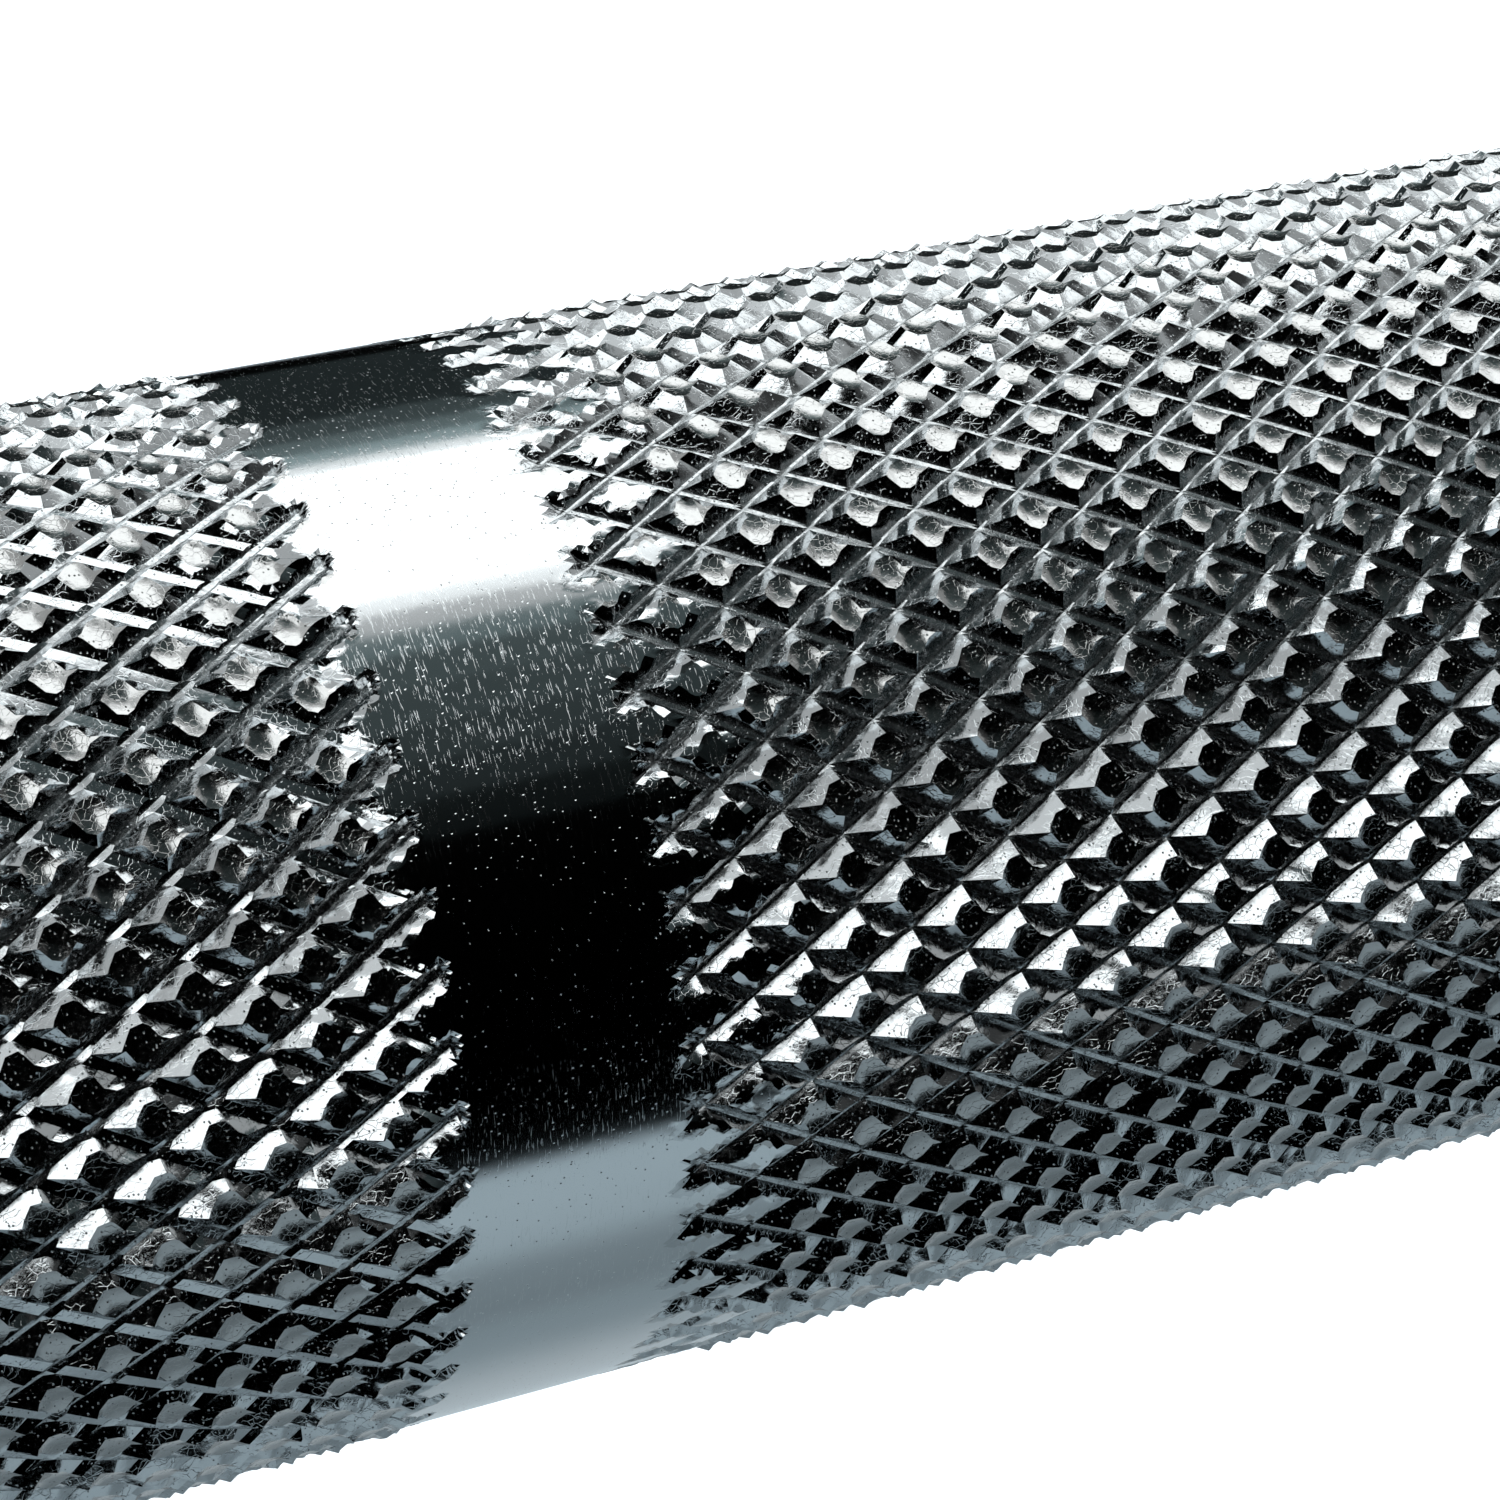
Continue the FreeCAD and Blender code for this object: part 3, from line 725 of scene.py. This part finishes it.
def tubeOutline(tube):
    length, radius, lip, seat = tube["length"], tube["radius"], tube["lipRadius"], tube["flangeSeat"]
    lipEnd, collarEnd = tube["lipWidth"], tube["collarEnd"]
    capSeat, ringSeat = tube["capSeat"], tube["ringSeat"]
    mouth, tip, tipBore = tube["mouthChamfer"], tube["tipChamfer"], tube["tipBoreChamfer"]
    return ((0, seat + mouth), (0, lip - tube["lipChamfer"]), (tube["lipChamfer"], lip), (lipEnd, lip),
            (lipEnd, tube["collarSeat"]), (collarEnd, tube["collarSeat"]), (collarEnd, radius),
            (length - tip, radius), (length, radius - tip), (length, capSeat + tipBore),
            (length - tipBore, capSeat), (tube["ringEnd"], capSeat), (tube["ringEnd"], ringSeat),
            (tube["ringStart"], ringSeat), (tube["ringStart"], capSeat), (tube["capStart"], capSeat),
            (tube["capStart"], seat), (outerStep, seat), (outerStep, tube["bore"]),
            (innerStep, tube["bore"]), (innerStep, seat), (mouth, seat))


def collarOutline(collar, tube):
    radius, end = collar["radius"], tube["collarEnd"]
    grooves = []
    for middle in collar["grooves"]:
        grooves += [(middle - collar["grooveHalf"], radius),
                    (middle - collar["grooveFloorHalf"], collar["grooveRadius"]),
                    (middle + collar["grooveFloorHalf"], collar["grooveRadius"]),
                    (middle + collar["grooveHalf"], radius)]
    return ((tube["lipWidth"], tube["lipRadius"]), (0, tube["lipRadius"]), (0, collar["faceRadius"]),
            (collar["coneWidth"], radius), *grooves, (end - collar["endChamfer"], radius),
            (end, collar["endRadius"]), (end, tube["collarSeat"]), (tube["lipWidth"], tube["collarSeat"]))


def capOutline(cap, tube):
    start, end, radius, chamfer = tube["capStart"], tube["ringStart"], cap["radius"], cap["chamfer"]
    dish, boss = end - cap["dishDepth"], end - cap["bossDrop"]
    return ((start, 0), (start, radius - chamfer), (start + chamfer, radius), (end - chamfer, radius),
            (end, radius - chamfer), (end, cap["rimRadius"]), (dish, cap["dishRadius"]),
            (dish, cap["bossFoot"]), (boss, cap["bossRadius"]), (boss, 0))


def makeSleeves():
    for name, side in (("left", -1), ("right", 1)):
        body = name + "_sleeve"
        tube = turn(alongSleeve(side, tubeOutline(sleeveTube)), sleeveTube["segments"])
        roundCorners(tube, sleeveTube["edge"] * mm, sleeveTube["edgeSegments"],
                     lambda x, radius: radius > sleeveTube["roundedFrom"] * mm)
        setPiece(name + "SleeveTube", tube, [finishes["sleeve_chrome"]], body,
                 name + "_sleeve_tube")
        outline = collarOutline(shoulderCollar, sleeveTube)
        collar = turn(alongSleeve(side, outline), shoulderCollar["segments"])
        coneEnd = side * (abs(collarFace) + shoulderCollar["coneWidth"] * mm)
        roundCorners(collar, shoulderCollar["rimRound"] * mm, shoulderCollar["rimSegments"],
                     lambda x, radius: abs(x - coneEnd) < shoulderCollar["rimNear"] * mm)
        roundCorners(collar, shoulderCollar["edge"] * mm, shoulderCollar["edgeSegments"],
                     lambda x, radius: radius > shoulderCollar["roundedFrom"] * mm
                     and abs(x - coneEnd) > shoulderCollar["clearOfRim"] * mm)
        setPiece(name + "ShoulderCollar", collar, [finishes["sleeve_chrome"]], body,
                 name + "_shoulder_collar")
        cap = turn(alongSleeve(side, capOutline(endCap, sleeveTube)), endCap["segments"], True)
        roundCorners(cap, endCap["edge"] * mm, endCap["edgeSegments"],
                     lambda x, radius: radius > endCap["roundedFrom"] * mm)
        setPiece(name + "EndCap", cap, [finishes["cap_steel"]], body, name + "_end_cap")


makeSleeves()
print("sleeves, collars and caps done")


# The frame's own pieces keep their shape and take a finish by what they are
finishByPiece = {
    "dust_seal": "seal_rubber", "inner_bush": "bronze", "outer_bush": "bronze",
    "thrust_washer": "bearing_steel", "shaft_snap_ring": "spring_steel", "end_snap_ring": "spring_steel",
    "needle_cup": "bearing_steel", "needle_cage": "spring_steel", "needle_rollers": "bearing_steel",
}
for nodeName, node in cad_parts.items():
    for piece, finish in finishByPiece.items():
        if piece in nodeName:
            node.data.materials.clear()
            node.data.materials.append(finishes[finish])
print("bearings, seals and rings finished")


# Stage: places are on y, from the front to the back
stage = {
    "floorSize": 6.0, "floorColour": (0.53, 0.63, 0.69, 1), "paintedDarkReflectionColour": (0, 0, 0, 1),
    "cameraGlow": 0.85,  # also the world's, so that the floor has no edge
    # painted reflection: metal sees the lit floor only in this band, and black past it
    "paleFront": (-0.076, -0.064), "paleBack": (0.10, 0.22),  # the pale sheet that metal shows
    # painted reflection: the floor behind the bar glows for metal only
    "paintedGlowInMetal": 0.19, "paintedGlowBand": (-0.016, 0.002),
    # painted shadow: a darker band on the floor under the bar, seen only in metal
    "paintedShadowUnderBar": (-0.041, -0.030, -0.024, -0.014), "paintedShadowShare": 0.32,
}


def makeFloor():
    bm = bmesh.new()
    bmesh.ops.create_grid(bm, x_segments=1, y_segments=1, size=stage["floorSize"])
    bmesh.ops.translate(bm, vec=(0, 0, cadBox[0].z), verts=bm.verts[:])
    mesh = bpy.data.meshes.new("floor")
    bm.to_mesh(mesh)
    bm.free()
    floorPiece = bpy.data.objects.new("floor", mesh)
    bpy.context.scene.collection.objects.link(floorPiece)
    material, wire, place = startMaterial("paleFloor")
    x, y, z = splitPlace(wire, place)
    seen = wire.node("ShaderNodeLightPath", {}, {}, "Is Camera Ray")
    inMetal = seen.other("Is Glossy Ray")
    pale = wire.node("ShaderNodeBsdfDiffuse", {}, {"Color": stage["floorColour"]})
    # Painted reflection: for metal only, the floor behind the bar glows on top of its own light
    paintedGlowBehindBar = y.band(*stage["paintedGlowBand"]) * stage["paintedGlowInMetal"]
    glow = wire.node("ShaderNodeEmission", {}, {"Strength": seen * stage["cameraGlow"] + inMetal * paintedGlowBehindBar})
    pale = wire.node("ShaderNodeAddShader", {}, {0: pale, 1: glow})
    # Painted reflection: past the pale band, metal sees the floor black
    dark = wire.node("ShaderNodeBsdfDiffuse", {}, {"Color": stage["paintedDarkReflectionColour"]})
    # Painted shadow: a darker band under the bar, which only metal sees
    shadeStart, shadeFull, shadeLeft, shadeEnd = stage["paintedShadowUnderBar"]
    paintedShadowUnderBar = y.band(shadeStart, shadeFull) * (1 - y.band(shadeLeft, shadeEnd))
    isPale = y.band(*stage["paleFront"]) * (1 - y.band(*stage["paleBack"]))
    isPale = isPale * (1 - paintedShadowUnderBar * stage["paintedShadowShare"])
    shader = wire.node("ShaderNodeMixShader", {}, {0: inMetal * (1 - isPale), 1: pale, 2: dark})
    mesh.materials.append(closeMaterial(material, wire, shader))


# Long panels on an arc over the bar, each with two angles and a brightness: 0 is the front, 90 straight up
softbox = {
    "distance": 0.6, "overlap": 1.04,
    "white": (0.95, 0.99, 1.0), "dim": (0.72, 0.97, 1.0), "dimUpTo": 0.5,
    "ends": (-1.8, -0.42, 0.12, 1.8),  # along the bar, between the outer, inner and far panels
    "outer": ((50, 79, 2.2), (79, 95, 0.95), (95, 140, 0.62), (140, 190, 1.2)),
    "far": ((40, 62, 0.06), (62, 95, 0.5), (95, 126, 1.8), (126, 185, 1.7)),
    "inner": ((38, 46, 0.008), (46, 54, 0.027), (54, 62, 0.05), (62, 70, 0.07), (70, 77, 0.09),
              (77, 82, 0.2), (82, 87, 0.6), (87, 92, 1.3), (92, 126, 2.4), (126, 130, 1.1),
              (130, 134, 0.4), (134, 139, 0.17), (139, 146, 0.07), (146, 180, 0.024)),
}


def makePanel(low, high, radiance, start, end, colour):
    middle, half = radians(low + high) / 2, radians(high - low) / 2
    data = bpy.data.lights.new("panel" + str(low), "AREA")
    data.shape = "RECTANGLE"
    data.color = colour
    data.size = end - start
    data.size_y = 2 * softbox["distance"] * tan(half) * softbox["overlap"]
    data.energy = radiance * pi * data.size * data.size_y
    lamp = bpy.data.objects.new(data.name, data)
    lamp.location = ((start + end) / 2, -softbox["distance"] * cos(middle), softbox["distance"] * sin(middle))
    lamp.rotation_euler = (pi / 2 - middle, 0, 0)
    lamp.visible_camera = False
    bpy.context.scene.collection.objects.link(lamp)


def makeLights():
    start, split, middle, end = softbox["ends"]
    for panel in softbox["outer"]:
        makePanel(*panel, start, split, softbox["white"])
    for panel in softbox["inner"]:
        isBright = panel[2] > softbox["dimUpTo"]
        makePanel(*panel, split, middle, softbox["white" if isBright else "dim"])
    for panel in softbox["far"]:
        makePanel(*panel, middle, end, softbox["white"])


# Only the camera sees the world: the panels give all the light
def makeWorld():
    world = bpy.data.worlds.new("room")
    world.use_nodes = True
    world.node_tree.nodes.clear()
    wire = Wire(world.node_tree)
    seen = wire.node("ShaderNodeLightPath", {}, {}, "Is Camera Ray")
    white = wire.node("ShaderNodeBackground", {}, {"Color": (1, 1, 1, 1), "Strength": stage["cameraGlow"]})
    unlit = wire.node("ShaderNodeBackground", {}, {"Strength": 0.0})
    shader = wire.node("ShaderNodeMixShader", {}, {0: seen, 1: unlit, 2: white})
    wire.node("ShaderNodeOutputWorld", {}, {"Surface": shader})
    bpy.context.scene.world = world


view = {
    "place": (-486.856 * mm, -89.33 * mm, 55.19 * mm),
    "right": (0.91091, -0.41261, 0),
    "up": (0.19805, 0.43716, 0.87731),
    "lens": 98.31, "clipStart": 1 * mm,
}


def makeCamera():
    data = bpy.data.cameras.new("camera")
    data.lens = view["lens"]
    data.clip_start = view["clipStart"]
    camera = bpy.data.objects.new("camera", data)
    right, up = Vector(view["right"]).normalized(), Vector(view["up"]).normalized()
    turned = Matrix((right, up, right.cross(up))).transposed()
    camera.matrix_world = Matrix.Translation(view["place"]) @ turned.to_4x4()
    bpy.context.scene.collection.objects.link(camera)
    bpy.context.scene.camera = camera


makeFloor()
makeLights()
makeWorld()
makeCamera()
bpy.context.scene.view_settings.view_transform = "Standard"
print("stage done")
